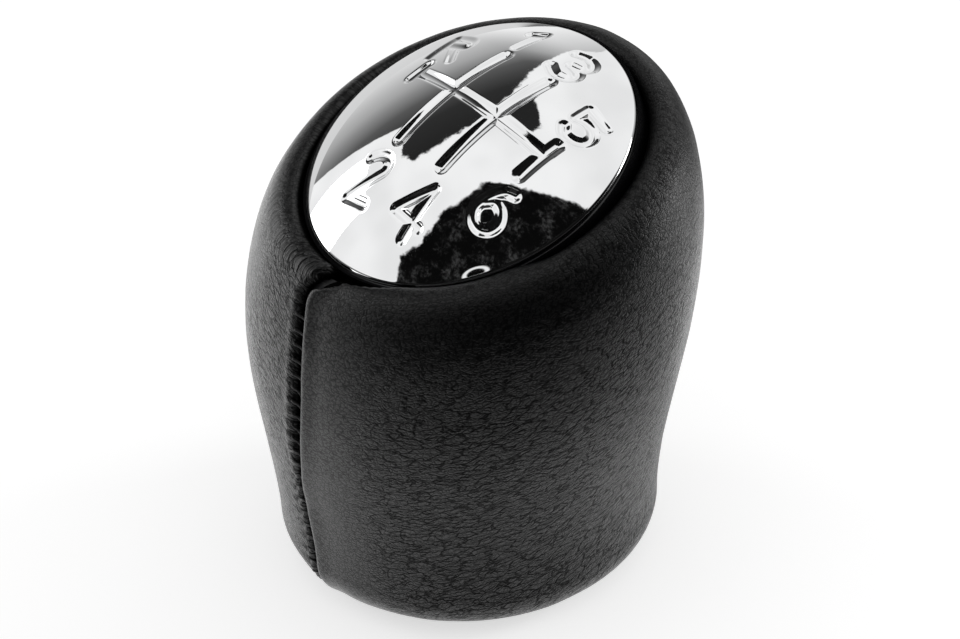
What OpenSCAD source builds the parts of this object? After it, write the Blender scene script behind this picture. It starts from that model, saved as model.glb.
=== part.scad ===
// Gear shift knob: a leather-wrapped grip with a sloping chrome cap.
// Millimetres, +Z up. The origin is the mouth of the lever socket, level with the foot.
// +Y points to the front of the car and +X to the driver's right; the seam is at the rear.

/* [Grip] */
// Diameter of the foot, where its rounded edge meets the side
foot_d = 42.3; // [41:0.1:45]
// Width of the grip halfway up its side, from left to right
grip_w = 52.6; // [51:0.1:56]
// Depth of the grip halfway up its side, from front to rear
grip_depth = 50.8; // [49:0.1:55]
// Radius of the rounded lower edge
foot_r = 4.9; // [4:0.1:5.2]
// How far up from the foot's edge the side keeps close to upright
side_rise = 15; // [8:0.5:16]
// How far below the cap's rim plane the shoulder pulls outwards
shoulder_drop = 13.8; // [9:0.1:14.5]
// How far towards the rear of the cap's middle it does so
shoulder_back = 5; // [0:0.1:5.5]
// How far out from its crest the shoulder runs level with it
crest_flat = 4; // [3.6:0.1:5]

/* [Cap] */
// Diameter of the chrome cap
cap_d = 37.3; // [35:0.1:38]
// Height of the chrome dome above its own rim
dome_h = 6.3; // [4:0.1:8]
// Wall of the chrome cap
cap_t = 1.6; // [1.2:0.1:2.2]
// Depth of the straight rim below the dome
cap_rim_h = 1.2; // [0.8:0.1:1.6]
// Slope of the cap, low at the rear
cap_tilt = 21.3; // [14:0.1:24]
// Height of the centre of the cap's rim above the foot
cap_z = 48.4; // [46:0.1:54]
// How far the centre of the cap's rim lies in front of the lever
cap_y = 2.9; // [1:0.1:4]

/* [Shift pattern] */
// Spacing of the four columns of the pattern
gate_pitch = 7.1; // [5:0.1:7.5]
// How far the pattern's middle lies to the right of the cap's middle
gate_x = 1.2; // [0:0.1:3]
// How far the neutral line lies in front of the cap's middle
gate_y = 2.4; // [0:0.1:3]
// Reach of the two long columns from the neutral line
gate_long = 7.7; // [6:0.1:10]
// Reach of the two short columns from the neutral line
gate_short = 2.4; // [2:0.1:4]
// Width of the grooves
gate_w = 1.4; // [0.8:0.1:2]
// Depth of the grooves
gate_depth = 0.7; // [0.4:0.1:1]

/* [Leather] */
// Thickness of the leather
leather_t = 1.1; // [0.8:0.1:1.4]
// Level of the leather's crest at the cap's sides, against the cap's rim plane
crest_n = -0.7; // [-0.9:0.1:0.2]
// How much less than the cap the leather's crest slopes
crest_ease = 4.2; // [0:0.1:5]
// Radius with which the leather folds down round the cap
lip_fold = 1.4; // [1.2:0.1:2]
// Length of the leather's turned-down lip below its fold, where it is shortest
lip_l = 0.8; // [0.4:0.1:1.2]
// Depth of the leather's turned-up hem inside the foot
hem_h = 4.4; // [3:0.1:6]
// Depth of the seam's furrow
seam_depth = 0.5; // [0.2:0.1:0.8]
// Half the width of the seam's furrow
seam_half = 1.1; // [0.8:0.1:2]

/* [Stitching] */
// Distance between stitches along the seam
stitch_pitch = 1.9; // [1.4:0.1:3]
// Length of one stitch across the seam
stitch_l = 1.9; // [1.2:0.1:2.4]
// Diameter of the thread
thread_d = 0.45; // [0.3:0.05:0.6]
// Gap between the thread and the leather beside the furrow
thread_gap = 0.05; // [0.02:0.01:0.1]
// Stretch without stitches at each end of the seam
seam_margin = 2.5; // [2:0.1:4]

/* [Cap carrier] */
// Wall of the black carrier that shows as a ring round the cap
carrier_wall = 0.35; // [0.3:0.05:0.8]
// Height of the carrier below the cap's rim plane
carrier_h = 6; // [5.5:0.1:7]
// How far the carrier's edge stays below the cap's rim plane
carrier_edge = 0.4; // [0.2:0.1:0.6]
// Ledge inside the carrier, on which the cap's rim sits
ledge_w = 1.9; // [1.4:0.1:2.4]
// Floor of the carrier
carrier_floor = 1.5; // [1:0.1:1.6]
// Distance of the snap hooks from the cap's axis
hook_r = 14; // [12:0.1:15]
// Width of a snap hook
hook_w = 5; // [4:0.1:7]
// Thickness of a snap hook
hook_t = 1.5; // [1.2:0.1:2]
// Length of a snap hook below the carrier
hook_l = 5.6; // [5:0.1:7]
// How far a hook's barb stands out
hook_barb = 0.7; // [0.5:0.1:1]
// Diameter of the pegs that fix the cap in its carrier
peg_d = 2.4; // [2:0.1:3]
// Distance of the pegs from the cap's axis
peg_r = 10; // [8:0.1:11]

/* [Lever bush] */
// Diameter of the lever that the knob is pressed onto
lever_d = 12; // [10:0.1:13]
// Depth of the lever's socket
socket_depth = 30; // [24:0.5:31]
// Wall of the bush
bush_wall = 2.4; // [1.8:0.1:2.6]
// End wall of the bush
bush_end = 2; // [1.5:0.1:2.5]
// Gap between the bush's flange and the ring, where the core shows
flange_gap = 1.9; // [1:0.1:2.5]
// Width of the keys that stop the bush turning
key_w = 2; // [1.5:0.1:3]
// Height of the keys above the bush
key_h = 0.9; // [0.6:0.1:1.1]
// How far below the top of the bush the keys end
key_stop = 3; // [2:0.1:8]

/* [Foot] */
// Gap between the leather and the surface that the knob stands on
foot_lift = 0.3; // [0.2:0.05:0.6]
// Width of the ring
ring_w = 2.7; // [2:0.1:3]
// Height of the ring
ring_h = 5; // [4:0.1:7]
// Flat land left on the core outside the ring's groove
groove_land = 0.3; // [0.2:0.1:0.6]
// Bevel of the ring's edges
ring_bevel = 0.5; // [0.3:0.1:0.8]
// Count of the coring pockets round the socket
pocket_count = 8; // [6:1:10]
// Rib left between two coring pockets
rib_w = 1.6; // [1.2:0.1:2.4]
// Height to which the coring pockets reach
pocket_top = 25; // [18:0.5:26]
// Wall between the socket and the coring pockets
socket_wall = 2.2; // [2:0.1:2.4]
// Radial width of the coring pockets
pocket_w = 4.6; // [3:0.1:4.8]

/* [Fits] */
// Gap where two moulded pieces slide into each other
slide_fit = 0.1; // [0.05:0.05:0.2]
// Gap between flat faces that seat on each other
seat_fit = 0.05; // [0:0.01:0.1]
// Gap between the leather and what it is wrapped round
wrap_fit = 0.1; // [0.05:0.05:0.2]

/* [Hidden] */

// Points round each section, apart from those that shape the seam
around = 54;
foot_steps = 4;
wall_steps = 16;
lip_steps = 3;
curve_fn = 96;
small_fn = 32;
thread_fn = 16;
// Cutting solids reach this far past what they cut
over = 1;
// Directions from the cap's axis to the pegs, and to the hooks between them
peg_angles = [30, 150, 270];
hook_angles = [90, 210, 330];

cap_r = cap_d / 2;
dome_r = (cap_r * cap_r + dome_h * dome_h) / (2 * dome_h);
dome_n = dome_h - dome_r;
carrier_r = cap_r + slide_fit + carrier_wall;
lip_in = carrier_r + wrap_fit;
lip_out = lip_in + leather_t;
crest_r = lip_in + lip_fold;
crest_tilt = cap_tilt - crest_ease;
lip_n = crest_n - lip_fold - lip_in * tan(crest_ease) - lip_l;
well_r = lip_out + wrap_fit;
well_n = -carrier_h - seat_fit;

ring_r = foot_d / 2 - foot_r - leather_t - wrap_fit;
hem_in = ring_r + wrap_fit;
hem_out = hem_in + leather_t;
groove_r = hem_out + wrap_fit;
core_inset = leather_t + wrap_fit;
core_z = foot_lift + core_inset;
ring_top = ring_h + seat_fit;

bush_r = lever_d / 2 + bush_wall;
bush_hole_r = bush_r + slide_fit;
bush_h = socket_depth + bush_end;
flange_r = ring_r - ring_w - flange_gap;
flange_t = core_z - seat_fit;
pocket_in = bush_hole_r + socket_wall;

// A point of the cap's own frame, at [q, n], as [y, z] of the knob's frame
function tilted(q, n) = [
    cap_y + q * cos(cap_tilt) - n * sin(cap_tilt),
    cap_z + q * sin(cap_tilt) + n * cos(cap_tilt)
];

// A section is [half width, half depth's y and z, middle y and z]
function level_section(r, z) = [r, r, 0, 0, z];
function cap_section(half_w, half_d, q, n) = [
    half_w,
    half_d * cos(cap_tilt),
    half_d * sin(cap_tilt),
    tilted(q, n)[0],
    tilted(q, n)[1]
];
// Round as seen along the cap's axis, but sloping like the leather's crest
function crest_section(r, n) = [
    r,
    r * cos(crest_tilt) / cos(crest_ease),
    r * sin(crest_tilt) / cos(crest_ease),
    tilted(0, n)[0],
    tilted(0, n)[1]
];
function section_point(s, a) = [s[0] * cos(a), s[3] + s[1] * sin(a), s[4] + s[2] * sin(a)];

// The lower edge, an arc from the underside up to the side
function foot_section(a, inset) = level_section(
    foot_d / 2 - foot_r + (foot_r - inset) * sin(a),
    foot_lift + foot_r - (foot_r - inset) * cos(a)
);

// Side and shoulder are one Bezier surface from the foot's edge to the crest beside the cap.
// Its middle control section is worked out from the widths that the grip has halfway up it.
foot_top = foot_section(90, 0);
side_top = foot_top + [0, 0, 0, 0, side_rise];
crest_in = crest_section(crest_r + crest_flat, crest_n);
crest = crest_section(crest_r, crest_n);
others = foot_top[0] + 4 * side_top[0] + 4 * crest_in[0] + crest[0];
shoulder_w = (16 * grip_w / 2 - others) / 6;
shoulder_depth = (16 * grip_depth / 2 - others) / 6;
shoulder = cap_section(shoulder_w, shoulder_depth, -shoulder_back, -shoulder_drop);
function wall_section(t) = pow(1 - t, 4) * foot_top
    + 4 * t * pow(1 - t, 3) * side_top
    + 6 * pow(t * (1 - t), 2) * shoulder
    + 4 * pow(t, 3) * (1 - t) * crest_in
    + pow(t, 4) * crest;

// A point of that surface, moved inwards along its own normal
slope_step = 0.005;
turn_step = 0.5;
function wall_point(t, a, inset) = let (
    rise = section_point(wall_section(t + slope_step) - wall_section(t - slope_step), a),
    run = section_point(wall_section(t), a + turn_step) - section_point(wall_section(t), a - turn_step),
    outward = cross(run, rise)
) section_point(wall_section(t), a) - outward * inset / norm(outward);

// Rings of points up the whole outside, from the underside to the crest
function furrow(a, dip) = a == 270 ? dip : 0;
function outer_rings(angles, inset, dip) = concat(
    [for (k = [0:foot_steps - 1]) [for (a = angles)
        section_point(foot_section(90 * k / foot_steps, inset + furrow(a, dip)), a)]],
    [for (k = [0:wall_steps]) [for (a = angles)
        wall_point(k / wall_steps, a, inset + furrow(a, dip))]]
);

function reversed(list) = [for (i = [len(list) - 1:-1:0]) list[i]];

// Angles round a section, with close ones where the seam runs, at 270 degrees
seam_angle = seam_half / (foot_d / 2) * 180 / PI;
seam_steps = 2;
plain_from = (seam_steps + 1.5) * seam_angle;
leather_angles = concat(
    [for (i = [-seam_steps:seam_steps]) 270 + i * seam_angle],
    [for (k = [0:around]) 270 + plain_from + (360 - 2 * plain_from) * k / around]
);
core_angles = [for (k = [0:around - 1]) 360 * (k + 0.5) / around];

function ring_of(s, angles) = [for (a = angles) section_point(s, a)];

// The leather: out and up over the grip, and down into the lip round the cap
leather_outside = concat(
    [ring_of(level_section(hem_in, foot_lift + hem_h), leather_angles)],
    [for (k = [0:lip_steps - 1]) let (a = 90 * k / lip_steps) ring_of(level_section(
        hem_in + leather_t * (1 - cos(a)),
        foot_lift + leather_t * (1 - sin(a))
    ), leather_angles)],
    outer_rings(leather_angles, 0, seam_depth),
    [for (k = [1:lip_steps]) let (a = 90 * k / lip_steps) ring_of(crest_section(
        crest_r - lip_fold * sin(a),
        crest_n - lip_fold * (1 - cos(a))
    ), leather_angles)],
    [ring_of(cap_section(lip_in, lip_in, 0, lip_n), leather_angles)]
);
// Back down inside it, one leather's thickness away
leather_inside = concat(
    [ring_of(level_section(hem_out, foot_lift + hem_h), leather_angles)],
    [ring_of(level_section(hem_out, foot_lift + leather_t), leather_angles)],
    outer_rings(leather_angles, leather_t, 0),
    [ring_of(crest_section(lip_out, crest_n - lip_fold), leather_angles)],
    [ring_of(cap_section(lip_out, lip_out, 0, lip_n), leather_angles)]
);

// The core starts from a flat underside a little wider than the ring's groove
core_walls = outer_rings(core_angles, core_inset, 0);
core_rings = concat(
    [ring_of(level_section(groove_r + groove_land, core_z), core_angles)],
    [for (i = [1:len(core_walls) - 1]) core_walls[i]]
);

function flat(rings) = [for (ring = rings) each ring];

// Joins ring i to ring j with two triangles for each step round
function band(i, j, n) = [
    for (k = [0:n - 1], half = [0, 1]) let (m = (k + 1) % n)
        half == 0 ? [i * n + k, j * n + k, i * n + m] : [i * n + m, j * n + k, j * n + m]
];

module open_loft(rings) {
    n = len(rings[0]);
    c = len(rings);
    polyhedron(points = flat(rings), faces = [for (i = [0:c - 1]) each band(i, (i + 1) % c, n)]);
}

// Closed by a flat underside and by triangles that meet at the point top
module closed_loft(rings, top) {
    n = len(rings[0]);
    c = len(rings);
    polyhedron(
        points = concat(flat(rings), [top]),
        faces = concat(
            [for (i = [0:c - 2]) each band(i, i + 1, n)],
            [[for (k = [0:n - 1]) k]],
            [for (k = [0:n - 1]) [(c - 1) * n + (k + 1) % n, (c - 1) * n + k, c * n]]
        )
    );
}

// Puts its children into the cap's own frame, with the rim's plane at zero
module on_cap() {
    translate([0, cap_y, cap_z])
        rotate([cap_tilt, 0, 0])
            children();
}

module dome_ball(r) {
    translate([0, 0, dome_n])
        sphere(r = r, $fn = curve_fn);
}

module tube(r_out, r_in, h) {
    difference() {
        cylinder(r = r_out, h = h, $fn = curve_fn);
        translate([0, 0, -over])
            cylinder(r = r_in, h = h + 2 * over, $fn = curve_fn);
    }
}

// One rounded groove of the pattern, as seen from above
module slot(from, to) {
    length = norm(to - from);
    translate(from)
        circle(d = gate_w, $fn = small_fn);
    translate(to)
        circle(d = gate_w, $fn = small_fn);
    translate(from)
        rotate(atan2(to[1] - from[1], to[0] - from[0]))
            translate([0, -gate_w / 2])
                square([length, gate_w]);
}

module gate_plan() {
    reaches = [gate_short, gate_long, gate_long, gate_short];
    for (i = [0:3]) {
        x = gate_x + (i - 1.5) * gate_pitch;
        slot([x, gate_y - reaches[i]], [x, gate_y + reaches[i]]);
    }
    slot([gate_x - 1.5 * gate_pitch, gate_y], [gate_x + 1.5 * gate_pitch, gate_y]);
}

module cap_shell() {
    difference() {
        union() {
            intersection() {
                dome_ball(dome_r);
                cylinder(r = cap_r, h = dome_h + over, $fn = curve_fn);
            }
            translate([0, 0, -cap_rim_h])
                cylinder(r = cap_r, h = cap_rim_h, $fn = curve_fn);
        }
        intersection() {
            dome_ball(dome_r - cap_t);
            translate([0, 0, -over])
                cylinder(r = cap_r - cap_t, h = dome_h + over, $fn = curve_fn);
        }
        translate([0, 0, -cap_rim_h - over])
            cylinder(r = cap_r - cap_t, h = cap_rim_h + over, $fn = curve_fn);
    }
}

// The grooves are cut last, so that they keep their depth over the pegs
module shift_cap() {
    peg_foot = -carrier_h + carrier_floor / 2;
    peg_top = sqrt(pow(dome_r - cap_t / 2, 2) - peg_r * peg_r) + dome_n;
    color("lightsteelblue")
    on_cap() {
        difference() {
            union() {
                cap_shell();
                for (angle = peg_angles)
                    rotate(angle)
                        translate([peg_r, 0, peg_foot])
                            cylinder(d = peg_d, h = peg_top - peg_foot, $fn = small_fn);
            }
            difference() {
                linear_extrude(height = dome_h + over)
                    gate_plan();
                dome_ball(dome_r - gate_depth);
            }
        }
    }
}

// A snap hook in profile: the leg, and a barb with a sloping lead-in
module hook_profile() {
    polygon([
        [hook_r, 0],
        [hook_r + hook_t, 0],
        [hook_r + hook_t, -hook_l + 2 * hook_barb],
        [hook_r + hook_t + hook_barb, -hook_l + 2 * hook_barb],
        [hook_r + hook_t, -hook_l],
        [hook_r, -hook_l]
    ]);
}

module hooks() {
    for (angle = hook_angles)
        rotate(angle)
            rotate([90, 0, 0])
                translate([0, 0, -hook_w / 2])
                    linear_extrude(height = hook_w)
                        hook_profile();
}

module cap_carrier() {
    floor_n = -carrier_h + carrier_floor;
    color("dimgray")
    on_cap() {
        difference() {
            translate([0, 0, -carrier_h])
                cylinder(r = carrier_r, h = carrier_h - carrier_edge, $fn = curve_fn);
            translate([0, 0, -cap_rim_h - seat_fit])
                cylinder(r = cap_r + slide_fit, h = cap_rim_h + over, $fn = curve_fn);
            translate([0, 0, floor_n])
                cylinder(r = cap_r - ledge_w, h = carrier_h + over, $fn = curve_fn);
            for (angle = peg_angles)
                rotate(angle)
                    translate([peg_r, 0, -carrier_h - over])
                        cylinder(r = peg_d / 2 + slide_fit, h = carrier_floor + 2 * over, $fn = small_fn);
        }
        translate([0, 0, -carrier_h])
            hooks();
    }
}

// A hook's way in, and the chamber under whose edge its barb catches
module hook_pocket() {
    room = hook_barb + slide_fit;
    width = hook_w + 2 * slide_fit;
    neck = hook_l - 2 * hook_barb - seat_fit;
    translate([hook_r - room, -width / 2, -neck])
        cube([hook_t + room + slide_fit, width, neck + over]);
    translate([hook_r - room, -width / 2, -hook_l - 2 * slide_fit])
        cube([hook_t + room + hook_barb + slide_fit, width, 2 * hook_barb + seat_fit + 2 * slide_fit]);
}

module coring_pocket() {
    difference() {
        translate([0, 0, -over])
            tube(pocket_in + pocket_w, pocket_in, pocket_top + over);
        for (i = [0:pocket_count - 1])
            rotate(360 / pocket_count * i)
                translate([0, -rib_w / 2, -2 * over])
                    cube([pocket_in + pocket_w + over, rib_w, pocket_top + 3 * over]);
    }
}

module core() {
    color("darkslategray")
    difference() {
        closed_loft(core_rings, [0, cap_y, cap_z]);
        on_cap()
            translate([0, 0, well_n]) {
                cylinder(r = well_r, h = carrier_h + dome_h, $fn = curve_fn);
                for (angle = hook_angles)
                    rotate(angle)
                        hook_pocket();
            }
        translate([0, 0, -over])
            cylinder(r = bush_hole_r, h = bush_h + seat_fit + over, $fn = curve_fn);
        for (side = [0, 1])
            rotate(180 * side)
                translate([0, -key_w / 2 - slide_fit, -over])
                    cube([
                        bush_r + key_h + slide_fit,
                        key_w + 2 * slide_fit,
                        bush_h - key_stop + slide_fit + over
                    ]);
        coring_pocket();
        translate([0, 0, -over])
            tube(groove_r, ring_r - ring_w - slide_fit, ring_top + over);
    }
}

module leather_cover() {
    color("black")
        open_loft(concat(leather_outside, reversed(leather_inside)));
}

// The seam's line up the rear of the grip, above the furrow
seam_line = [for (ring = outer_rings([270], 0, 0)) ring[0]];

function run_lengths(points, i = 0, so_far = 0) = i == len(points) - 1
    ? [so_far]
    : concat([so_far], run_lengths(points, i + 1, so_far + norm(points[i + 1] - points[i])));
seam_runs = run_lengths(seam_line);
seam_length = seam_runs[len(seam_runs) - 1];

function segment_at(run) = max([for (i = [0:len(seam_runs) - 2]) if (seam_runs[i] <= run) i]);

module seam_thread() {
    count = floor((seam_length - 2 * seam_margin) / stitch_pitch);
    color("black")
    for (k = [0:count]) {
        run = seam_margin + k * stitch_pitch;
        i = segment_at(run);
        along = (seam_line[i + 1] - seam_line[i]) / (seam_runs[i + 1] - seam_runs[i]);
        place = seam_line[i] + along * (run - seam_runs[i]);
        outward = [0, -along[2], along[1]];
        translate(place + outward * (thread_d / 2 + thread_gap))
            rotate([atan2(along[2], along[1]) - 90, 0, 0])
                rotate([0, 90, 0])
                    translate([0, 0, -stitch_l / 2])
                        cylinder(d = thread_d, h = stitch_l, $fn = thread_fn);
    }
}

module lever_bush() {
    color("gray")
    difference() {
        union() {
            cylinder(r = bush_r, h = bush_h, $fn = curve_fn);
            cylinder(r = flange_r, h = flange_t, $fn = curve_fn);
            for (side = [0, 1])
                rotate(180 * side)
                    translate([0, -key_w / 2, 0])
                        cube([bush_r + key_h, key_w, bush_h - key_stop]);
        }
        translate([0, 0, -over])
            cylinder(d = lever_d, h = socket_depth + over, $fn = curve_fn);
    }
}

module base_ring() {
    inner_r = ring_r - ring_w;
    color("dimgray")
    rotate_extrude($fn = curve_fn)
        polygon([
            [inner_r + ring_bevel, 0],
            [ring_r - ring_bevel, 0],
            [ring_r, ring_bevel],
            [ring_r, ring_h - ring_bevel],
            [ring_r - ring_bevel, ring_h],
            [inner_r, ring_h],
            [inner_r, ring_bevel]
        ]);
}

core();
leather_cover();
seam_thread();
cap_carrier();
shift_cap();
lever_bush();
base_ring();
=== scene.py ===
import math

import bpy
import numpy as np
from mathutils import Matrix


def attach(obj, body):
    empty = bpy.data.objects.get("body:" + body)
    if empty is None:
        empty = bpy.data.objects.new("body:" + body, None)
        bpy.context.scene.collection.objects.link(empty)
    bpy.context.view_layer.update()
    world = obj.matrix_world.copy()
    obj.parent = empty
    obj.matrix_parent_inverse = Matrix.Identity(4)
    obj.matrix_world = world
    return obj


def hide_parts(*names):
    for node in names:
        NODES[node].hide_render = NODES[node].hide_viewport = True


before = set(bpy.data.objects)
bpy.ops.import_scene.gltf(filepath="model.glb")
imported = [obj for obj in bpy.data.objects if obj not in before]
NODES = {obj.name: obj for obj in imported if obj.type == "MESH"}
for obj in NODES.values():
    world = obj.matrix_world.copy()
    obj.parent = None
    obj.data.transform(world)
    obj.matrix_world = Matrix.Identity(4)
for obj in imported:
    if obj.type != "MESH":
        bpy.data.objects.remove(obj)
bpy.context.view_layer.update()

MM = 0.001

# Sizes in millimetres, the same as in the part's source
FOOT_D, FOOT_R, FOOT_LIFT = 42.3, 4.9, 0.3
GRIP_W, GRIP_DEPTH = 52.6, 50.8
SIDE_RISE, SHOULDER_DROP, SHOULDER_BACK, CREST_FLAT = 15, 13.8, 5, 4
CAP_D, CAP_T, CAP_RIM_H, DOME_H = 37.3, 1.6, 1.2, 6.3
CAP_TILT, CAP_Y, CAP_Z = math.radians(21.3), 2.9, 48.4
LEATHER_T, WRAP_FIT, SLIDE_FIT, CARRIER_WALL = 1.1, 0.1, 0.1, 0.35
CREST_N, CREST_EASE, LIP_FOLD, LIP_L, HEM_H = -0.7, math.radians(4.2), 1.4, 0.8, 4.4
GATE_PITCH, GATE_X, GATE_Y, GATE_LONG, GATE_SHORT = 7.1, 1.2, 2.4, 7.7, 2.4

CAP_R = CAP_D / 2
DOME_R = (CAP_R ** 2 + DOME_H ** 2) / (2 * DOME_H)
LIP_IN = CAP_R + SLIDE_FIT + CARRIER_WALL + WRAP_FIT
CREST_R = LIP_IN + LIP_FOLD
LIP_N = CREST_N - LIP_FOLD - LIP_IN * math.tan(CREST_EASE) - LIP_L
HEM_IN = FOOT_D / 2 - FOOT_R - LEATHER_T

# The camera that was fitted to the photograph, in degrees and millimetres
CAM_AZ, CAM_EL, CAM_ROLL = math.radians(54.706), math.radians(34.264), math.radians(-3.636)
CAM_FAR, CAM_RIGHT, CAM_UP, CAM_LENS = 420, 2.435, -0.035, 144.48
# How high the camera and the lamps aim
AIM_Z = 28


def camera_axes():
    back = np.array([
        math.sin(CAM_AZ) * math.cos(CAM_EL), -math.cos(CAM_AZ) * math.cos(CAM_EL), math.sin(CAM_EL)
    ])
    level = np.array([math.cos(CAM_AZ), math.sin(CAM_AZ), 0])
    upright = np.cross(back, level)
    right = math.cos(CAM_ROLL) * level + math.sin(CAM_ROLL) * upright
    up = -math.sin(CAM_ROLL) * level + math.cos(CAM_ROLL) * upright
    return right, up, back


CAM_X, CAM_Y, CAM_Z = camera_axes()
CAM_PLACE = np.array([0, 0, AIM_Z]) + CAM_RIGHT * CAM_X + CAM_UP * CAM_Y + CAM_FAR * CAM_Z


# Noise

def lattice_noise(x, y, seed):
    """Smooth noise from -1 to 1 with a period of about one unit."""
    table = np.random.default_rng(seed).uniform(-1, 1, (64, 64))
    xi, yi = np.floor(x).astype(int), np.floor(y).astype(int)
    fx, fy = x - xi, y - yi
    fx, fy = fx * fx * (3 - 2 * fx), fy * fy * (3 - 2 * fy)
    def at(dx, dy):
        return table[(xi + dx) % 64, (yi + dy) % 64]
    low = at(0, 0) * (1 - fx) + at(1, 0) * fx
    high = at(0, 1) * (1 - fx) + at(1, 1) * fx
    return low * (1 - fy) + high * fy


def step(low, high, x):
    t = np.clip((x - low) / (high - low), 0, 1)
    return t * t * (3 - 2 * t)


# Meshes

def new_object(name, points, faces, material):
    mesh = bpy.data.meshes.new(name)
    mesh.from_pydata((np.asarray(points) * MM).tolist(), [], faces)
    mesh.polygons.foreach_set("use_smooth", [True] * len(mesh.polygons))
    mesh.materials.append(material)
    obj = bpy.data.objects.new(name, mesh)
    bpy.context.scene.collection.objects.link(obj)
    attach(obj, "root")
    return obj


def grid_faces(rows, cols):
    i, j = np.meshgrid(np.arange(rows - 1), np.arange(cols - 1), indexing="ij")
    near, far = i * cols + j, (i + 1) * cols + j
    return np.stack([near, near + 1, far + 1, far], -1).reshape(-1, 4).tolist()


def set_vector(mesh, name, values):
    layer = mesh.attributes.new(name, "FLOAT_VECTOR", "POINT")
    layer.data.foreach_set("vector", np.asarray(values, dtype=np.float32).ravel())


# Material nodes

class Nodes:
    """Short calls for building a node tree."""

    def __init__(self, tree):
        self.tree = tree
        tree.nodes.clear()

    def add(self, kind, **settings):
        node = self.tree.nodes.new(kind)
        for key, value in settings.items():
            setattr(node, key, value)
        return node

    def feed(self, socket, value):
        if isinstance(value, bpy.types.NodeSocket):
            self.tree.links.new(value, socket)
        elif value is not None:
            socket.default_value = value

    def math(self, operation, a, b=None, c=None):
        node = self.add("ShaderNodeMath", operation=operation)
        for socket, value in zip(node.inputs, (a, b, c)):
            self.feed(socket, value)
        return node.outputs[0]

    def dot(self, a, vector):
        node = self.add("ShaderNodeVectorMath", operation="DOT_PRODUCT")
        self.feed(node.inputs[0], a)
        node.inputs[1].default_value = vector
        return node.outputs["Value"]

    def vector(self, operation, a, b):
        node = self.add("ShaderNodeVectorMath", operation=operation)
        self.feed(node.inputs[0], a)
        if operation == "SCALE":
            self.feed(node.inputs["Scale"], b)
        else:
            self.feed(node.inputs[1], b)
        return node.outputs["Vector"]

    def ramp(self, x, low, high, to_low=0.0, to_high=1.0):
        node = self.add("ShaderNodeMapRange", interpolation_type="SMOOTHSTEP")
        names = "Value", "From Min", "From Max", "To Min", "To Max"
        for name, value in zip(names, (x, low, high, to_low, to_high)):
            self.feed(node.inputs[name], value)
        return node.outputs["Result"]

    def noise(self, vector, scale, detail=2.0, rough=0.5):
        node = self.add("ShaderNodeTexNoise")
        self.feed(node.inputs["Vector"], vector)
        node.inputs["Scale"].default_value = scale
        node.inputs["Detail"].default_value = detail
        node.inputs["Roughness"].default_value = rough
        return node

    def cells(self, vector, scale, feature="DISTANCE_TO_EDGE"):
        node = self.add("ShaderNodeTexVoronoi", feature=feature)
        self.feed(node.inputs["Vector"], vector)
        node.inputs["Scale"].default_value = scale
        return node.outputs["Distance"]

    def curve(self, x, stops):
        """A value that follows the stops, which are pairs of x and value."""
        low, high = stops[0][0], stops[-1][0]
        node = self.add("ShaderNodeValToRGB")
        elements = node.color_ramp.elements
        while len(elements) < len(stops):
            elements.new(0.5)
        base = min(v for _, v in stops)
        span = max(v for _, v in stops) - base
        for element, (at, value) in zip(elements, stops):
            element.position = (at - low) / (high - low)
            shade = (value - base) / span
            element.color = (shade, shade, shade, 1)
        share = self.add("ShaderNodeMapRange")
        for name, value in zip(("Value", "From Min", "From Max"), (x, low, high)):
            self.feed(share.inputs[name], value)
        self.feed(node.inputs["Fac"], share.outputs["Result"])
        return self.math("MULTIPLY_ADD", node.outputs["Color"], span, base)

    def blend(self, share, a, b):
        node = self.add("ShaderNodeMix", data_type="FLOAT")
        for index, value in zip((0, 2, 3), (share, a, b)):
            self.feed(node.inputs[index], value)
        return node.outputs[0]

    def mix(self, share, a, b):
        node = self.add("ShaderNodeMix", data_type="RGBA")
        self.feed(node.inputs[0], share)
        self.feed(node.inputs[6], a)
        self.feed(node.inputs[7], b)
        return node.outputs[2]


def principled(name):
    material = bpy.data.materials.new(name)
    material.use_nodes = True
    n = Nodes(material.node_tree)
    shader = n.add("ShaderNodeBsdfPrincipled")
    out = n.add("ShaderNodeOutputMaterial")
    n.tree.links.new(shader.outputs[0], out.inputs["Surface"])
    return material, n, shader


def bump(n, shader, height, strength, distance):
    node = n.add("ShaderNodeBump")
    node.inputs["Strength"].default_value = strength
    node.inputs["Distance"].default_value = distance
    n.feed(node.inputs["Height"], height)
    n.tree.links.new(node.outputs[0], shader.inputs["Normal"])


def plastic(name, colour, rough, grain):
    material, n, shader = principled(name)
    where = n.add("ShaderNodeTexCoord").outputs["Object"]
    speckle = n.noise(where, 2500, 3).outputs["Fac"]
    blotch = n.noise(where, 180, 2).outputs["Fac"]
    light = tuple(c * 1.35 for c in colour)
    n.feed(shader.inputs["Base Color"], n.mix(blotch, (*colour, 1), (*light, 1)))
    n.feed(shader.inputs["Roughness"], n.ramp(blotch, 0.3, 0.7, rough - 0.04, rough + 0.05))
    bump(n, shader, speckle, grain, 0.00005)
    return material


def chrome():
    material, n, shader = principled("cap_chrome")
    where = n.add("ShaderNodeTexCoord").outputs["Object"]
    haze = n.noise(where, 900, 3).outputs["Fac"]
    shader.inputs["Base Color"].default_value = (0.86, 0.865, 0.87, 1)
    shader.inputs["Metallic"].default_value = 1
    n.feed(shader.inputs["Roughness"], n.ramp(haze, 0.3, 0.75, 0.012, 0.045))
    return material


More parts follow.
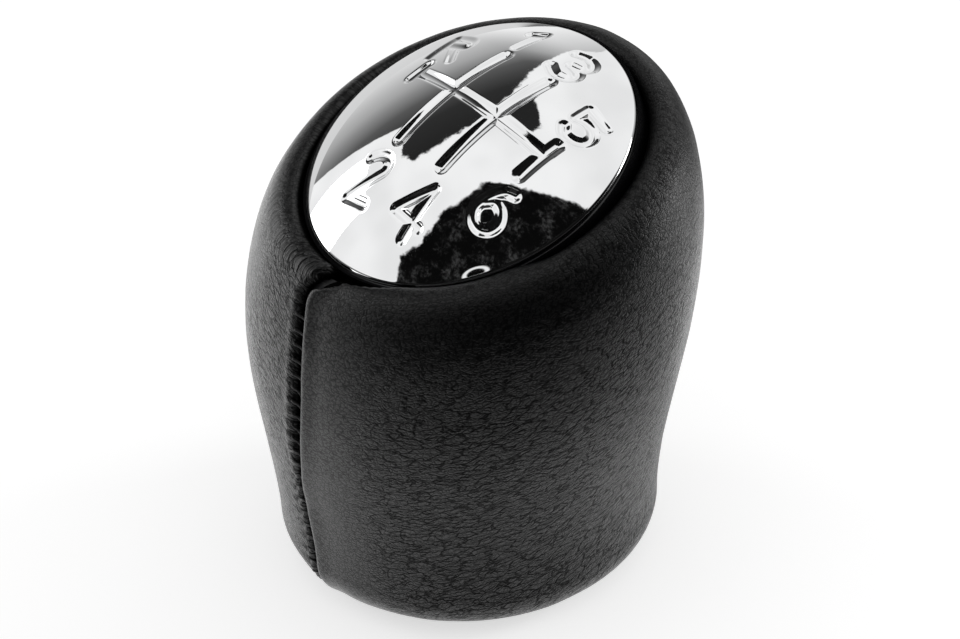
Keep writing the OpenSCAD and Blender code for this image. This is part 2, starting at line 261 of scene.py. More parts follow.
def leather():
    """Pebbled grain in the cover's own flat coordinates, in millimetres round and up it, with painted shade in the
    grain's grooves and at the seam's folds.
    """
    material, n, shader = principled("cover_leather")
    skin = n.add("ShaderNodeAttribute", attribute_name="skin").outputs["Vector"]
    facts = n.add("ShaderNodeAttribute", attribute_name="facts").outputs["Vector"]
    split = n.add("ShaderNodeSeparateXYZ")
    n.feed(split.inputs[0], facts)
    crease_share, cross_share, painted_shade = split.outputs
    warp = n.noise(skin, 0.8, 3).outputs["Color"]
    bent = n.vector("ADD", skin, n.vector("SCALE", n.vector("SUBTRACT", warp, (0.5, 0.5, 0.5)), 1.0))
    pebble = n.ramp(n.cells(n.vector("MULTIPLY", bent, (0.8, 1.4, 1)), 2.1), 0.0, 0.22)
    long_way = n.vector("MULTIPLY", bent, (0.37, 1.45, 1))
    creases = n.ramp(n.cells(long_way, 1.15), 0.0, 0.13)
    creases = n.blend(crease_share, 1.0, creases)
    cross_way = n.vector("MULTIPLY", bent, (1.7, 0.2, 1))
    crossing = n.blend(cross_share, 1.0, n.ramp(n.cells(cross_way, 0.8), 0.0, 0.14))
    micro = n.noise(skin, 7, 4, 0.6).outputs["Fac"]
    height = n.math("ADD", n.math("MULTIPLY", pebble, 0.5), n.math("MULTIPLY", micro, 0.8))
    height = n.math("ADD", height, n.math("MULTIPLY", n.math("ADD", creases, crossing), 0.7))
    # Painted shade: the grain's pits and creases are darker in colour and lose most of their shine
    groove_shade = n.ramp(pebble, 0.0, 1.0, 0.5, 1.0)
    groove_shade = n.math("MULTIPLY", groove_shade, n.ramp(creases, 0.0, 1.0, 0.25, 1.0))
    groove_shade = n.math("MULTIPLY", groove_shade, n.ramp(crossing, 0.0, 1.0, 0.5, 1.0))
    tone = n.noise(skin, 0.35, 3).outputs["Fac"]
    colour = n.mix(tone, (0.0026, 0.0027, 0.0029, 1), (0.0048, 0.005, 0.0053, 1))
    colour = n.mix(groove_shade, (0.0008, 0.0008, 0.0009, 1), colour)
    # Painted shade: near black, without shine, where the cover marks shade at the seam and its folds
    n.feed(shader.inputs["Base Color"], n.mix(painted_shade, colour, (0.0004, 0.0004, 0.0004, 1)))
    n.feed(shader.inputs["Roughness"], n.ramp(micro, 0.3, 0.7, 0.3, 0.4))
    shine = n.math("MULTIPLY", n.math("MULTIPLY", groove_shade, 0.46), n.ramp(painted_shade, 0.0, 1.0, 1.0, 0.02))
    n.feed(shader.inputs["Specular IOR Level"], shine)
    bump(n, shader, n.math("MULTIPLY", height, n.ramp(crease_share, 0.2, 0.9, 0.4, 1.1)), 0.8, 0.0001)
    return material


def thread_stuff():
    material, n, shader = principled("thread")
    along = n.add("ShaderNodeAttribute", attribute_name="twist").outputs["Vector"]
    wave = n.add("ShaderNodeTexWave", wave_type="BANDS", bands_direction="DIAGONAL")
    n.feed(wave.inputs["Vector"], along)
    wave.inputs["Scale"].default_value = 2.2
    # Painted shade and highlight: darker in the grooves between the twisted strands, lighter on their ridges
    colour = n.mix(wave.outputs["Fac"], (0.0015, 0.0015, 0.0017, 1), (0.007, 0.007, 0.0075, 1))
    n.feed(shader.inputs["Base Color"], colour)
    shader.inputs["Roughness"].default_value = 0.6
    bump(n, shader, wave.outputs["Fac"], 0.6, 0.00006)
    return material


# The shape of the grip

def tilted(q, m):
    """The y and z of a point q up the cap's slope and m out from its rim."""
    along, out = math.cos(CAP_TILT), math.sin(CAP_TILT)
    return CAP_Y + q * along - m * out, CAP_Z + q * out + m * along


def level_section(r, z):
    return np.array([r, r, 0, 0, z], dtype=float)


def cap_section(half_w, half_d, q, m):
    y, z = tilted(q, m)
    return np.array([half_w, half_d * math.cos(CAP_TILT), half_d * math.sin(CAP_TILT), y, z])


def crest_section(r, m):
    y, z = tilted(0, m)
    slope, reach = CAP_TILT - CREST_EASE, r / math.cos(CREST_EASE)
    return np.array([r, reach * math.cos(slope), reach * math.sin(slope), y, z])


def foot_section(a):
    return level_section(FOOT_D / 2 - FOOT_R + FOOT_R * math.sin(a), FOOT_LIFT + FOOT_R - FOOT_R * math.cos(a))


def wall_controls():
    foot = foot_section(math.pi / 2)
    side = foot + np.array([0, 0, 0, 0, SIDE_RISE])
    level = crest_section(CREST_R + CREST_FLAT, CREST_N)
    crest = crest_section(CREST_R, CREST_N)
    others = foot[0] + 4 * side[0] + 4 * level[0] + crest[0]
    shoulder = cap_section(
        (8 * GRIP_W - others) / 6, (8 * GRIP_DEPTH - others) / 6, -SHOULDER_BACK, -SHOULDER_DROP
    )
    return foot, side, shoulder, level, crest


CONTROLS = wall_controls()


def wall_section(t):
    shares = (1 - t) ** 4, 4 * t * (1 - t) ** 3, 6 * (t * (1 - t)) ** 2, 4 * t ** 3 * (1 - t), t ** 4
    return sum(share * control for share, control in zip(shares, CONTROLS))


def section_points(sections, angles):
    """Points of one section a row, at one angle for each point."""
    w, dy, dz, y, z = (sections[:, k:k + 1] for k in range(5))
    return np.stack([w * np.cos(angles), y + dy * np.sin(angles), z + dz * np.sin(angles)], -1)


def wall_steps(count):
    """Values of t that lie evenly up the side."""
    fine = np.linspace(0, 1, 400)
    sections = np.array([wall_section(t) for t in fine])
    line = section_points(sections, np.full((400, 1), math.radians(300)))[:, 0]
    run = np.concatenate([[0], np.cumsum(np.linalg.norm(np.diff(line, axis=0), axis=1))])
    return np.interp(np.linspace(0, run[-1], count), run, fine)


def cover_sections():
    rows = [level_section(HEM_IN, FOOT_LIFT + HEM_H * k) for k in (1, 0.6, 0.3)]
    places = [-2.0, -1.9, -1.8]
    for a in np.linspace(0, math.pi / 2, 6)[:-1]:
        r, z = HEM_IN + LEATHER_T * (1 - math.cos(a)), FOOT_LIFT + LEATHER_T * (1 - math.sin(a))
        rows.append(level_section(r, z))
        places.append(-1.5)
    for a in np.linspace(0, math.pi / 2, 18)[:-1]:
        rows.append(foot_section(a))
        places.append(-1 + a / (math.pi / 2))
    for t in wall_steps(190):
        rows.append(wall_section(t))
        places.append(t)
    for a in np.linspace(0, math.pi / 2, 11)[1:]:
        r, m = CREST_R - LIP_FOLD * math.sin(a), CREST_N - LIP_FOLD * (1 - math.cos(a))
        rows.append(crest_section(r, m))
        places.append(1 + a / (math.pi / 2))
    rows.append(crest_section(LIP_IN, CREST_N - LIP_FOLD - 0.05))
    places.append(2.2)
    rows.append(cap_section(LIP_IN, LIP_IN, 0, LIP_N))
    places.append(2.5)
    return np.array(rows), np.array(places)


# How far the seam wanders from the middle of the rear, up the side
WANDER_AT = (
    -2, 0, 0.06, 0.12, 0.18, 0.24, 0.31, 0.39, 0.46, 0.53, 0.6, 0.66, 0.72, 0.78, 0.84, 0.87, 0.9, 0.94, 1, 2.5
)
WANDER = (
    0.4, 0.4, 0.4, 0.2, 0.05, 0.1, 0.6, 1.0, 1.3, 1.42, 1.3, 1.05, 0.8, 0.4, -0.25, -0.25, 0.15, 0.8, 1.4, 1.7
)


def wander(place):
    near = np.linspace(-0.03, 0.03, 7)
    return np.interp(np.asarray(place)[..., None] + near, WANDER_AT, WANDER).mean(-1)


# The two edges of the sheet where they meet, as (distance from the seam, height) in millimetres
RIGHT_EDGE = np.array([
    (0.55, -1.15), (0.25, -1.1), (0.02, -0.98), (-0.1, -0.8), (-0.14, -0.6), (-0.15, -0.4), (-0.13, -0.22),
    (-0.07, -0.06), (0.03, 0.07), (0.16, 0.17), (0.32, 0.235), (0.5, 0.26), (0.7, 0.25), (0.92, 0.22), (1.16, 0.18),
    (1.42, 0.135), (1.7, 0.09), (2.0, 0.055), (2.32, 0.025), (2.66, 0.008), (3.0, 0.0)
])
LEFT_EDGE = np.array([
    (-3.0, 0.03), (-2.7, 0.08), (-2.42, 0.13), (-2.16, 0.15), (-1.93, 0.13), (-1.73, 0.08), (-1.56, 0.0),
    (-1.42, -0.11), (-1.31, -0.24), (-1.22, -0.38), (-1.15, -0.52), (-1.1, -0.68), (-1.08, -0.85), (-1.12, -1.0),
    (-1.3, -1.12), (-1.6, -1.15)
])
STITCH_PITCH, THREAD_R, THREAD_SIDES = 1.72, 0.14, 10
# Points between the two edges, and the mean radius that the grain is laid out by
COVER_POINTS, SKIN_R = 376, 22.5
REAR, REAR_AGAIN = math.radians(270), math.radians(630)
# How far up the cover the right panel reaches near the seam
CORNER_MM = (0, 0.8, 1.6, 2.5, 3.5, 4.5, 5.5, 8)
CORNER_PLACE = (0.9, 0.92, 0.955, 1.05, 1.15, 1.25, 1.35, 1.6)


def cover_lines():
    """Angles and lifts of every point of the cover, row by row."""
    rows, places = cover_sections()
    middle = wander(places)[:, None]
    half_w = rows[:, :1]
    # The edges lie flat on each other inside the foot and inside the lip
    open_share = (step(-1.7, -0.9, places) * (1 - step(1.6, 2.2, places)))[:, None]
    right_s = RIGHT_EDGE[None, :, 0] * np.ones_like(middle)
    right_h = RIGHT_EDGE[None, :, 1] * open_share
    left_s = LEFT_EDGE[None, :, 0] * (0.6 + 0.4 * step(0.2, 0.42, places))[:, None]
    left_h = LEFT_EDGE[None, :, 1] * open_share
    start = REAR + (middle + right_s) / half_w
    end = REAR_AGAIN + (middle + left_s) / half_w
    share = np.linspace(0, 1, COVER_POINTS + 2)[1:-1][None, :]
    between = start[:, -1:] + (end[:, :1] - start[:, -1:]) * share
    angles = np.concatenate([start, between, end], axis=1)
    lifts = np.concatenate([right_h, np.zeros_like(between), left_h], axis=1)
    return rows, places, angles, lifts, middle


def run_up(points):
    """How far each row lies up the cover from the first, in millimetres."""
    gaps = np.linalg.norm(np.diff(points, axis=0), axis=-1)
    return np.concatenate([np.zeros((1, points.shape[1])), np.cumsum(gaps, axis=0)])


def smooth_normals(rows, places, angles):
    """Outward directions of the plain loft, without the seam's edges."""
    nudge = 0.004
    across = section_points(rows, angles + nudge) - section_points(rows, angles - nudge)
    up = np.gradient(section_points(rows, angles), axis=0)
    outward = np.cross(across, up)
    return outward / np.linalg.norm(outward, axis=-1, keepdims=True)


def cap_point(r, angles, m):
    y, z = tilted(r * np.sin(angles), m)
    return np.stack([r * np.cos(angles), y, z], -1)


def shape_lip(points, places, angles):
    """Draws the leather's fold in over the carrier's edge on the side between rear and right."""
    deg = np.degrees(angles)
    hug = step(282, 298, deg) * (1 - step(332, 350, deg))
    crest_n = CREST_N - CREST_R * np.sin(angles) * math.tan(CREST_EASE)
    edge_n = np.minimum(-0.32, crest_n - 0.02)
    lip = np.flatnonzero(places > 1)
    for row in lip:
        turn = min(places[row] - 1, 1) * math.pi / 2
        if places[row] <= 2:
            r = CREST_R - (LIP_FOLD + 0.42) * math.sin(turn)
            m = crest_n[row] - (crest_n[row] - edge_n[row]) * (1 - math.cos(turn))
        elif row < lip[-1]:
            r, m = LIP_IN, np.full_like(crest_n[row], edge_n[row].min() - 0.02)
        else:
            continue
        target = cap_point(r, angles[row], m)
        points[row] += (target - points[row]) * hug[row][:, None]
    return points


def build_cover(material):
    rows, places, angles, lifts, middle = cover_lines()
    base = section_points(rows, angles)
    outward = smooth_normals(rows, places, angles)
    up = run_up(base)
    mean_w = np.maximum(rows[:, :1], 1)
    round_mm = (angles - REAR) * SKIN_R
    seam_mm = (angles - REAR) * mean_w - middle
    left_mm = (REAR_AGAIN - angles) * mean_w + middle
    on_wall = (step(-1.0, -0.6, places) * (1 - step(1.0, 1.4, places)))[:, None]
    # Slow unevenness of hand-stretched leather
    lift = lifts + on_wall * 0.07 * lattice_noise(round_mm / 9, up / 9, 3)
    lift += on_wall * 0.03 * lattice_noise(round_mm / 3.1, up / 3.1, 4)
    # The left panel is pulled in at each stitch and puckers between
    row_run = up[:, -40:-39]
    pull = 0.5 + 0.5 * np.cos(2 * math.pi * (row_run - 0.55) / STITCH_PITCH)
    reach = np.exp(-((left_mm - 1.45) / 0.55) ** 2)
    lift -= on_wall * 0.2 * pull * reach
    far_reach = np.exp(-((left_mm - 2.6) / 1.1) ** 2)
    lift += on_wall * 0.05 * (1 - pull) * far_reach
    # The folded edge of the right panel is a little wavy
    lip_wave = lattice_noise(up / 2.4, up * 0 + 5.3, 8)
    lift += on_wall * 0.05 * lip_wave * np.exp(-((seam_mm - 0.4) / 0.6) ** 2)
    # The right panel's corner beside the seam is sunk in 1 mm and painted near black as shade, standing in for the
    # dark gap at the core's edge above it
    corner = step(-0.012, 0.012, places[:, None] - np.interp(seam_mm, CORNER_MM, CORNER_PLACE)) * (seam_mm < 9)
    lift -= 1.0 * corner * (1 - step(6, 8, seam_mm)) * (1 - step(2.0, 2.3, places))[:, None]
    points = base + outward * lift[..., None]
    points = shape_lip(points, places, angles)
    points = points.reshape(-1, 3)
    rows_n, cols_n = angles.shape
    faces = grid_faces(rows_n, cols_n)
    cover = new_object("leather_cover_fine", points, faces, material)
    # The grain slants down towards the seam on the left panel, and up away from it on the right one
    slant = up - 0.42 * 16 * (1 - np.exp(-np.abs(left_mm) / 16))
    slant = slant - 14 * step(0, 75, seam_mm) * (1 - step(80, 140, seam_mm))
    set_vector(cover.data, "skin", np.stack([round_mm, slant, slant * 0], -1).reshape(-1, 3))
    right_side = step(4, 14, seam_mm)
    low_down = 1 - step(0.5, 0.85, places)[:, None]
    crease_share = np.clip(0.25 + 0.75 * right_side * low_down + (1 - step(4, 14, left_mm)), 0, 1)
    deg = np.degrees(angles)
    crest_share = (step(0.78, 0.9, places) * (1 - step(1.3, 1.7, places)))[:, None]
    cross_share = step(340, 352, deg) * (1 - step(415, 440, deg)) * crest_share
    # Painted shade, near black: where the seam's edges turn in, on the sunk corner, and along the left panel's fold
    # into the lip
    painted_shade = np.clip(-(lifts + 0.12) / 0.5, 0, 1)
    left_fold_shade = step(1.3, 1.6, places)[:, None] * (left_mm < 40)
    painted_shade = np.maximum(painted_shade, np.maximum(corner, left_fold_shade))
    set_vector(cover.data, "facts", np.stack([crease_share, cross_share, painted_shade], -1).reshape(-1, 3))
    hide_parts("leather_cover")


def seam_line():
    """The run up the seam, its points, and the outward and upward directions at each."""
    fine = np.concatenate([np.linspace(-0.55, 0, 40)[:-1], np.linspace(0, 0.985, 500)])
    rows = np.array([foot_section((p + 1) * math.pi / 2) if p < 0 else wall_section(p) for p in fine])
    middle = wander(fine)[:, None]
    angles = REAR + middle / rows[:, :1]
    line = section_points(rows, angles)[:, 0]
    out = smooth_normals(rows, fine, angles)[:, 0]
    run = np.concatenate([[0], np.cumsum(np.linalg.norm(np.diff(line, axis=0), axis=1))])
    up = np.gradient(line, axis=0)
    up /= np.linalg.norm(up, axis=1, keepdims=True)
    return run, line, out, up


def build_thread(material):
    run, line, out, up = seam_line()
    points, faces, twist = [], [], []
    sides = THREAD_SIDES
    random = np.random.default_rng(11)
    # Each stitch as (distance from the seam, height, rise): out of its hole, over, and under the lip
    path = np.array([
        (-1.62, -0.55, 0.42), (-1.56, -0.2, 0.4), (-1.46, 0.0, 0.36), (-1.3, 0.02, 0.3), (-1.05, -0.1, 0.2),
        (-0.75, -0.22, 0.08), (-0.45, -0.26, -0.06), (-0.18, -0.26, -0.18), (0.02, -0.4, -0.26), (0.1, -0.7, -0.3)
    ])
    spots = np.arange(0.6, run[-1] - 4.5, STITCH_PITCH)
    for spot in spots:
        here = spot + random.uniform(-0.07, 0.07)
        place, outward, upward = (
            np.array([np.interp(here, run, values[:, k]) for k in range(3)]) for values in (line, out, up)
        )
        rightward = np.cross(upward, outward)
        wobble = random.uniform(-0.12, 0.12)
        curve = [place + rightward * s + outward * h + upward * (rise * (1 + wobble * 4)) for s, h, rise in path]
        curve = np.array(curve)
        ahead = np.gradient(curve, axis=0)
        ahead /= np.linalg.norm(ahead, axis=1, keepdims=True)
        first = len(points)
        for k, (centre, way) in enumerate(zip(curve, ahead)):
            side = np.cross(way, outward + 0.3 * upward)
            side /= np.linalg.norm(side)
            other = np.cross(way, side)
            for j in range(sides):
                a = 2 * math.pi * j / sides
                points.append(centre + THREAD_R * (math.cos(a) * side + math.sin(a) * other))
                twist.append((k * 0.2, j / sides, 0))
        for k in range(len(curve) - 1):
            for j in range(sides):
                m = (j + 1) % sides
                near = first + k * sides
                far = near + sides
                faces.append([near + j, near + m, far + m, far + j])
    thread = new_object("seam_thread_fine", points, faces, material)
    set_vector(thread.data, "twist", twist)
    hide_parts("seam_thread")


# The chrome cap

# Middle lines of the strokes of each number, in millimetres on the cap, with a corner where a point is doubled
GLYPHS = {
    "R": [
        [(-10.95, 5.1), (-11.9, 9.5), (-11.9, 9.5), (-9.3, 9.65), (-8.35, 9.25), (-8.15, 8.6), (-8.7, 8.0), (-11.4, 7.6)],
        [(-9.5, 7.75), (-7.3, 5.6)]
    ],
    "1": [[(-2.95, 11.4), (-3.3, 15.3), (-3.3, 15.3), (-4.6, 14.3)]],
    "3": [
        [(2.2, 15.2), (3.4, 15.6), (4.7, 15.3), (5.35, 14.5), (4.9, 13.7), (3.7, 13.35)],
        [(3.7, 13.35), (5.2, 13.1), (5.75, 12.3), (5.15, 11.45), (3.9, 11.2), (2.4, 11.8)]
    ],
    "5": [
        [(13.0, 9.75), (10.2, 10.3), (10.2, 10.3), (10.35, 8.4), (10.35, 8.4), (11.3, 8.7), (12.4, 8.55), (13.2, 7.8),
         (13.2, 6.8), (12.4, 6.15), (11.2, 6.1), (10.35, 6.8)]
    ],
    "2": [
        [(-4.05, -8.6), (-3.3, -8.0), (-2.5, -7.7), (-1.7, -7.75), (-1.1, -8.3), (-1.05, -9.1), (-1.55, -9.9),
         (-4.0, -13.2), (-4.0, -13.2), (-0.95, -12.95)]
    ],
    "4": [[(5.9, -13.4), (5.95, -7.5), (5.95, -7.5), (3.2, -11.45), (3.2, -11.45), (6.9, -11.6)]],
    "6": [
        [(13.0, -2.7), (12.1, -3.1), (11.5, -3.9), (11.0, -5.1), (10.8, -6.4), (11.4, -7.4), (12.35, -7.7),
         (13.3, -7.1), (13.6, -5.95), (13.0, -4.95), (11.97, -4.6), (11.1, -5.3)]
    ],
}


# Depth and half the width of the gate's grooves and of the numbers' strokes, in millimetres
GATE_DEPTH, GATE_HALF, GLYPH_DEPTH, GLYPH_HALF, BAR_RISE = 0.4, 0.92, 0.29, 0.75, 0.3
# How far each column of the gate runs down and up from the middle, in millimetres
GATE_REACH = ((GATE_SHORT - 1.5, GATE_SHORT - 0.7), (GATE_LONG + 0.1, GATE_LONG - 0.4), (GATE_LONG, GATE_LONG - 0.3),
              (GATE_SHORT + 0.8, GATE_SHORT - 0.3))


def smoothed(stroke):
    """A fine line that curves through the points of a stroke."""
    points = np.array([stroke[0], *stroke, stroke[-1]], float)
    line = [points[1]]
    for a, b, c, d in zip(points, points[1:], points[2:], points[3:]):
        if np.allclose(b, c):
            continue
        for t in np.linspace(0, 1, 7)[1:]:
            bend = t * t * (a - 2.5 * b + 2 * c - 0.5 * d)
            line.append(b + 0.5 * t * (c - a) + bend + t ** 3 * (1.5 * (b - c) + 0.5 * (d - a)))
    return line


def near_segment(p, q, a, b):
    """Distance from points (p, q) to the segment from a to b."""
    ax, ay = a
    dx, dy = b[0] - ax, b[1] - ay
    t = np.clip(((p - ax) * dx + (q - ay) * dy) / (dx * dx + dy * dy), 0, 1)
    return np.hypot(p - ax - t * dx, q - ay - t * dy)


def groove_depth(p, q):
    lines = []
    for i, (down, up) in enumerate(GATE_REACH):
        x = GATE_X + (i - 1.5) * GATE_PITCH
        lines.append(((x, GATE_Y - down), (x, GATE_Y + up)))
    bar = GATE_Y + BAR_RISE
    lines.append(((GATE_X - 1.5 * GATE_PITCH, bar), (GATE_X + 1.5 * GATE_PITCH, bar)))
    gate = np.full(p.shape, np.inf)
    for a, b in lines:
        gate = np.minimum(gate, near_segment(p, q, a, b))
    glyph = np.full(p.shape, np.inf)
    for strokes in GLYPHS.values():
        for stroke in strokes:
            line = smoothed(stroke)
            for a, b in zip(line, line[1:]):
                glyph = np.minimum(glyph, near_segment(p, q, a, b))
    trough = GATE_DEPTH * np.clip(1 - (gate / GATE_HALF) ** 2, 0, 1) ** 1.5
    return np.maximum(trough, GLYPH_DEPTH * np.clip(1 - (glyph / GLYPH_HALF) ** 2, 0, 1) ** 1.6)


# Points along each side of the dome's grid, and the rounding of the cap's rim
CAP_POINTS, CAP_EDGE = 306, 0.45


def build_cap(material):
    edge = CAP_EDGE
    slope = math.asin((CAP_R - edge) / (DOME_R - edge))
    top_r = DOME_R * math.sin(slope)
    count = CAP_POINTS
    line = np.linspace(-1, 1, count)
    u, v = np.meshgrid(line, line, indexing="ij")
    # Square to disc, so that the cells stay nearly even
    p = top_r * u * np.sqrt(1 - v * v / 2)
    q = top_r * v * np.sqrt(1 - u * u / 2)
    height = np.sqrt(DOME_R ** 2 - p * p - q * q) + DOME_H - DOME_R
    fall = groove_depth(p, q)
    direction = np.stack([p, q, height - DOME_H + DOME_R], -1) / DOME_R
    flat = np.stack([p, q, height], -1) - direction * fall[..., None]
    points = flat.reshape(-1, 3).tolist()
    faces = grid_faces(count, count)
    faces = [face[::-1] for face in faces]
    ring = [(i, 0) for i in range(count)] + [(count - 1, j) for j in range(1, count)]
    ring += [(i, count - 1) for i in range(count - 2, -1, -1)] + [(0, j) for j in range(count - 2, 0, -1)]
    last = [i * count + j for i, j in ring]
    around = [math.atan2(q[i, j], p[i, j]) for i, j in ring]
    arc_n = DOME_H - DOME_R + (DOME_R - edge) * math.cos(slope)
    profile = [(CAP_R - edge + edge * math.sin(a), arc_n + edge * math.cos(a))
               for a in np.linspace(slope, math.pi / 2, 7)[1:]]
    profile += [(CAP_R, -CAP_RIM_H), (CAP_R - CAP_T, -CAP_RIM_H), (CAP_R - CAP_T, -0.2)]
    for r, level in profile:
        first = len(points)
        points += [(r * math.cos(a), r * math.sin(a), level) for a in around]
        n = len(ring)
        fresh = list(range(first, first + n))
        faces += [[last[k], fresh[k], fresh[(k + 1) % n], last[(k + 1) % n]] for k in range(n)]
        last = fresh
    points = np.array(points)
    y, z = tilted(points[:, 1], points[:, 2])
    points = np.stack([points[:, 0], y, z], -1)
    cap = new_object("shift_cap_fine", points, faces, material)
    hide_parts("shift_cap")


# Light, floor and background

# What the chrome shows, laid out on the cap as the camera sees it: tones of a bright room with dark
# panels. Places are millimetres on the cap, so the same room is seen from every side.
LEFT_TONES = (
    (-14.5, 0.94), (-12.5, 0.84), (-10.5, 0.75), (-8.5, 0.64), (-6.6, 0.53), (-4.6, 0.42), (-2.8, 0.27), (-0.4, 0.105),
    (1.4, 0.065), (3.4, 0.03), (8, 0.018)
)
PANEL_RIGHT = (
    (-7, 1.2), (-3, 2.8), (1.5, 4.2), (4.2, 4.1), (7.8, 3.3), (10.5, 2.1), (13, 1.9), (15.5, 1.5), (18, 3.2)
)
BLACK_LEFT = (
    (-17.8, 8.0), (-16.8, 7.5), (-15.3, 6.9), (-13, 8.3), (-9.5, 8.3), (-7.5, 9.2), (-4, 10.0), (-2, 11.0), (0, 11.5)
)
WHITE = 1.04

# From the middle of the cap to the camera
CAP_TO_CAMERA = CAM_PLACE - (0, 1.5, CAP_Z + 4)
CAP_TO_CAMERA /= np.linalg.norm(CAP_TO_CAMERA)


def build_world():
    world = bpy.data.worlds.new("studio")
    bpy.context.scene.world = world
    world.use_nodes = True
    n = Nodes(world.node_tree)
    way = n.add("ShaderNodeTexCoord").outputs["Generated"]
    half = n.vector("NORMALIZE", n.vector("ADD", way, tuple(CAP_TO_CAMERA)), None)
    p = n.math("MULTIPLY", n.dot(half, (1, 0, 0)), DOME_R)
    q = n.math("MULTIPLY", n.dot(half, (0, math.cos(CAP_TILT), math.sin(CAP_TILT))), DOME_R)
    place = n.add("ShaderNodeCombineXYZ")
    n.feed(place.inputs[0], p)
    n.feed(place.inputs[1], q)
    ragged = n.noise(place.outputs[0], 0.9, 4, 0.65).outputs["Fac"]
    shift = n.math("MULTIPLY", n.math("SUBTRACT", ragged, 0.5), 1.5)
    pr, qr = n.math("ADD", p, shift), n.math("ADD", q, shift)

    def beyond(value, limit, soft=0.18):
        return n.ramp(n.math("SUBTRACT", value, limit), -soft, soft)

    def both(a, b):
        return n.math("MULTIPLY", a, b)

    def line(x, slope, at, level):
        return n.math("ADD", n.math("MULTIPLY", x, slope), level - slope * at)

    def oval():
        """A thin bright ring, the reflection of a small round light near the cap's lower rim."""
        dp, dq = n.math("SUBTRACT", p, 14.9), n.math("SUBTRACT", q, -11.45)
        long_way = n.math("ADD", n.math("MULTIPLY", dp, 0.573), n.math("MULTIPLY", dq, 0.819))
        short_way = n.math("SUBTRACT", n.math("MULTIPLY", dp, 0.819), n.math("MULTIPLY", dq, 0.573))
        reach = n.math("SQRT", n.math("ADD", n.math("POWER", n.math("DIVIDE", long_way, 1.65), 2.0),
                                      n.math("POWER", n.math("DIVIDE", short_way, 0.55), 2.0)))
        return n.ramp(n.math("ABSOLUTE", n.math("SUBTRACT", reach, 0.8)), 0.08, 0.24, 1.0, 0.0)

    lean = n.math("ADD", p, n.math("MULTIPLY", n.math("SUBTRACT", 9.0, q), 0.4))
    lift = n.ramp(q, 10.5, 17, 0.0, 7.0)
    lean = n.math("SUBTRACT", lean, lift)
    left_tone = n.curve(lean, LEFT_TONES)
    above_edge = beyond(qr, line(pr, 1.32, -3.4, -4.2))
    above_corner = both(beyond(qr, line(pr, -1.0, -3.4, -4.2)), beyond(qr, -7.0))
    panel = n.math("MAXIMUM", above_edge, above_corner)
    panel = both(panel, beyond(n.curve(q, PANEL_RIGHT), pr))
    glow = n.noise(place.outputs[0], 0.11, 2).outputs["Fac"]
    tone = n.blend(panel, n.math("MULTIPLY", n.ramp(glow, 0.32, 0.62, 0.85, 0.97), WHITE), left_tone)
    wedge = both(beyond(9.4, pr), beyond(pr, 4.6))
    wedge = both(wedge, both(beyond(qr, 3.4), beyond(line(p, -0.68, 5.6, 7.8), qr)))
    tone = n.blend(wedge, tone, 0.02)
    # The black panel's reflection in the chrome is mottled, lighter in blotches and specks
    panel_blotches = n.noise(place.outputs[0], 0.5, 3, 0.6).outputs["Fac"]
    specks = n.noise(place.outputs[0], 2.6, 5, 0.75).outputs["Fac"]
    mottle = n.ramp(n.math("MULTIPLY", panel_blotches, specks), 0.24, 0.42, 0.003, 0.05)
    black = both(beyond(pr, n.curve(q, BLACK_LEFT)), beyond(n.math("MINIMUM", line(p, 0.62, 13, -1.7), 2.0), qr))
    tone = n.blend(black, tone, mottle)
    tone = n.blend(oval(), tone, 0.9)
    tone = n.blend(beyond(p, 20.5, 1.0), tone, n.ramp(q, 6, 22, 0.008, 0.9))
    tone = n.blend(both(beyond(-19.6, q, 0.6), beyond(p, -4.5, 5.0)), tone, 0.01)
    # Past the cap's own view the room is brighter, for the leather's sides
    far = n.math("SQRT", n.math("ADD", n.math("MULTIPLY", p, p), n.math("MULTIPLY", q, q)))
    high = n.ramp(n.dot(half, (0, 0, 1)), 0.1, 0.42, 3.8, 0.5)
    tone = both(tone, n.ramp(far, 21.5, 28, 1.0, n.ramp(p, -6, 6, 5.4, high)))
    path = n.add("ShaderNodeLightPath")
    seen = n.math("MAXIMUM", path.outputs["Is Camera Ray"], path.outputs["Is Transmission Ray"])
    level = n.blend(path.outputs["Is Glossy Ray"], 0.45, tone)
    level = n.math("MAXIMUM", seen, level)
    background = n.add("ShaderNodeBackground")
    background.inputs["Color"].default_value = (1, 1, 1, 1)
    n.feed(background.inputs["Strength"], level)
    out = n.add("ShaderNodeOutputWorld")
    n.tree.links.new(background.outputs[0], out.inputs["Surface"])


# Painted reflection: how brightly the floor glows for glossy rays, by millimetres from the knob towards the camera
FLOOR_TONES = ((-400, 0.72), (-170, 0.72), (-115, 2.2), (-30, 2.2), (25, 1.2), (60, 1.1), (120, 0.42), (200, 0.02))
# How much darker that painted glow is to the right of the knob
RIGHT_DIM = ((-200, 0.75), (-80, 0.75), (-65, 0.4), (-50, 0.0), (-24, 0.0), (-14, 0.35), (-4, 0.35), (12, 0.0))


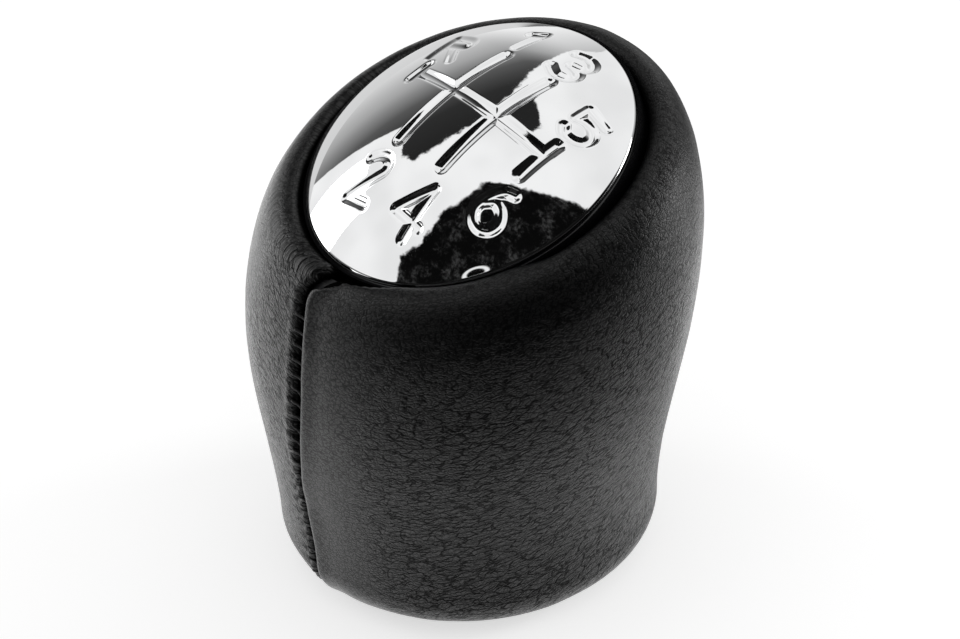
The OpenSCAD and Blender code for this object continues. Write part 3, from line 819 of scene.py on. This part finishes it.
def build_floor():
    half, z = 900 * MM, -0.05 * MM
    corners = (-half, -half, z), (half, -half, z), (half, half, z), (-half, half, z)
    mesh = bpy.data.meshes.new("floor")
    mesh.from_pydata(corners, [], [[0, 1, 2, 3]])
    material = bpy.data.materials.new("floor")
    material.use_nodes = True
    n = Nodes(material.node_tree)
    diffuse = n.add("ShaderNodeBsdfDiffuse")
    where = n.add("ShaderNodeTexCoord").outputs["Object"]
    tone = n.noise(where, 30, 2).outputs["Fac"]
    n.feed(diffuse.inputs["Color"], n.mix(tone, (0.8, 0.8, 0.8, 1), (0.82, 0.82, 0.82, 1)))
    glow = n.add("ShaderNodeEmission")
    path = n.add("ShaderNodeLightPath")
    n.feed(glow.inputs["Strength"], n.math("MULTIPLY", path.outputs["Is Camera Ray"], 0.6))
    both = n.add("ShaderNodeAddShader")
    n.tree.links.new(diffuse.outputs[0], both.inputs[0])
    n.tree.links.new(glow.outputs[0], both.inputs[1])
    # What chrome and leather reflect of it is a painted glow, by millimetres towards the camera, bright where the
    # white table would be and dark past it
    reflected_glow = n.add("ShaderNodeEmission")
    ahead = n.math("MULTIPLY", n.dot(where, (math.sin(CAM_AZ), -math.cos(CAM_AZ), 0)), 1 / MM)
    aside = n.math("MULTIPLY", n.dot(where, (math.cos(CAM_AZ), math.sin(CAM_AZ), 0)), 1 / MM)
    dim = n.math("MULTIPLY", n.ramp(aside, 5, 30), n.curve(ahead, RIGHT_DIM))
    level = n.curve(ahead, FLOOR_TONES)
    n.feed(reflected_glow.inputs["Strength"], n.math("MULTIPLY", level, n.math("SUBTRACT", 1.0, dim)))
    seen = n.add("ShaderNodeMixShader")
    n.feed(seen.inputs[0], path.outputs["Is Glossy Ray"])
    n.tree.links.new(both.outputs[0], seen.inputs[1])
    n.tree.links.new(reflected_glow.outputs[0], seen.inputs[2])
    out = n.add("ShaderNodeOutputMaterial")
    n.tree.links.new(seen.outputs[0], out.inputs["Surface"])
    mesh.materials.append(material)
    floor = bpy.data.objects.new("floor", mesh)
    bpy.context.scene.collection.objects.link(floor)


def placed(side, top, back, place):
    """The matrix of something with these three directions, at a place in millimetres."""
    matrix = np.eye(4)
    matrix[:3, 0], matrix[:3, 1], matrix[:3, 2], matrix[:3, 3] = side, top, back, place * MM
    return Matrix(matrix.tolist())


def add_lamp(name, place, size, power):
    """A rectangular lamp that faces the middle of the knob."""
    light = bpy.data.lights.new(name, "AREA")
    light.shape = "RECTANGLE"
    light.size, light.size_y = size[0] * MM, size[1] * MM
    light.energy = power
    lamp = bpy.data.objects.new(name, light)
    bpy.context.scene.collection.objects.link(lamp)
    place = np.array(place, float)
    back = place - (0, 0, AIM_Z)
    back /= np.linalg.norm(back)
    side = np.cross((0, 0, 1), back)
    side /= np.linalg.norm(side)
    lamp.matrix_world = placed(side, np.cross(back, side), back, place)


def build_camera():
    data = bpy.data.cameras.new("camera")
    data.sensor_width = 36
    data.lens = CAM_LENS
    data.clip_start = 0.01
    camera = bpy.data.objects.new("camera", data)
    bpy.context.scene.collection.objects.link(camera)
    camera.matrix_world = placed(CAM_X, CAM_Y, CAM_Z, CAM_PLACE)
    bpy.context.scene.camera = camera


def dress_node(name, material):
    obj = NODES[name]
    obj.data.materials.clear()
    obj.data.materials.append(material)


build_cover(leather())
build_thread(thread_stuff())
build_cap(chrome())
dress_node("cap_carrier", plastic("carrier_plastic", (0.002, 0.002, 0.0024), 0.14, 0.05))
dress_node("core", plastic("core_plastic", (0.011, 0.011, 0.012), 0.55, 0.4))
dress_node("lever_bush", plastic("bush_plastic", (0.024, 0.024, 0.027), 0.5, 0.4))
dress_node("base_ring", plastic("ring_plastic", (0.009, 0.009, 0.01), 0.48, 0.5))
build_world()
build_floor()
add_lamp("left_lamp", (-287, -149, 61), (120, 260), 0.25)
add_lamp("right_lamp", (150, 320, 60), (120, 240), 0.6)
build_camera()

bpy.context.scene.view_settings.view_transform = "Standard"
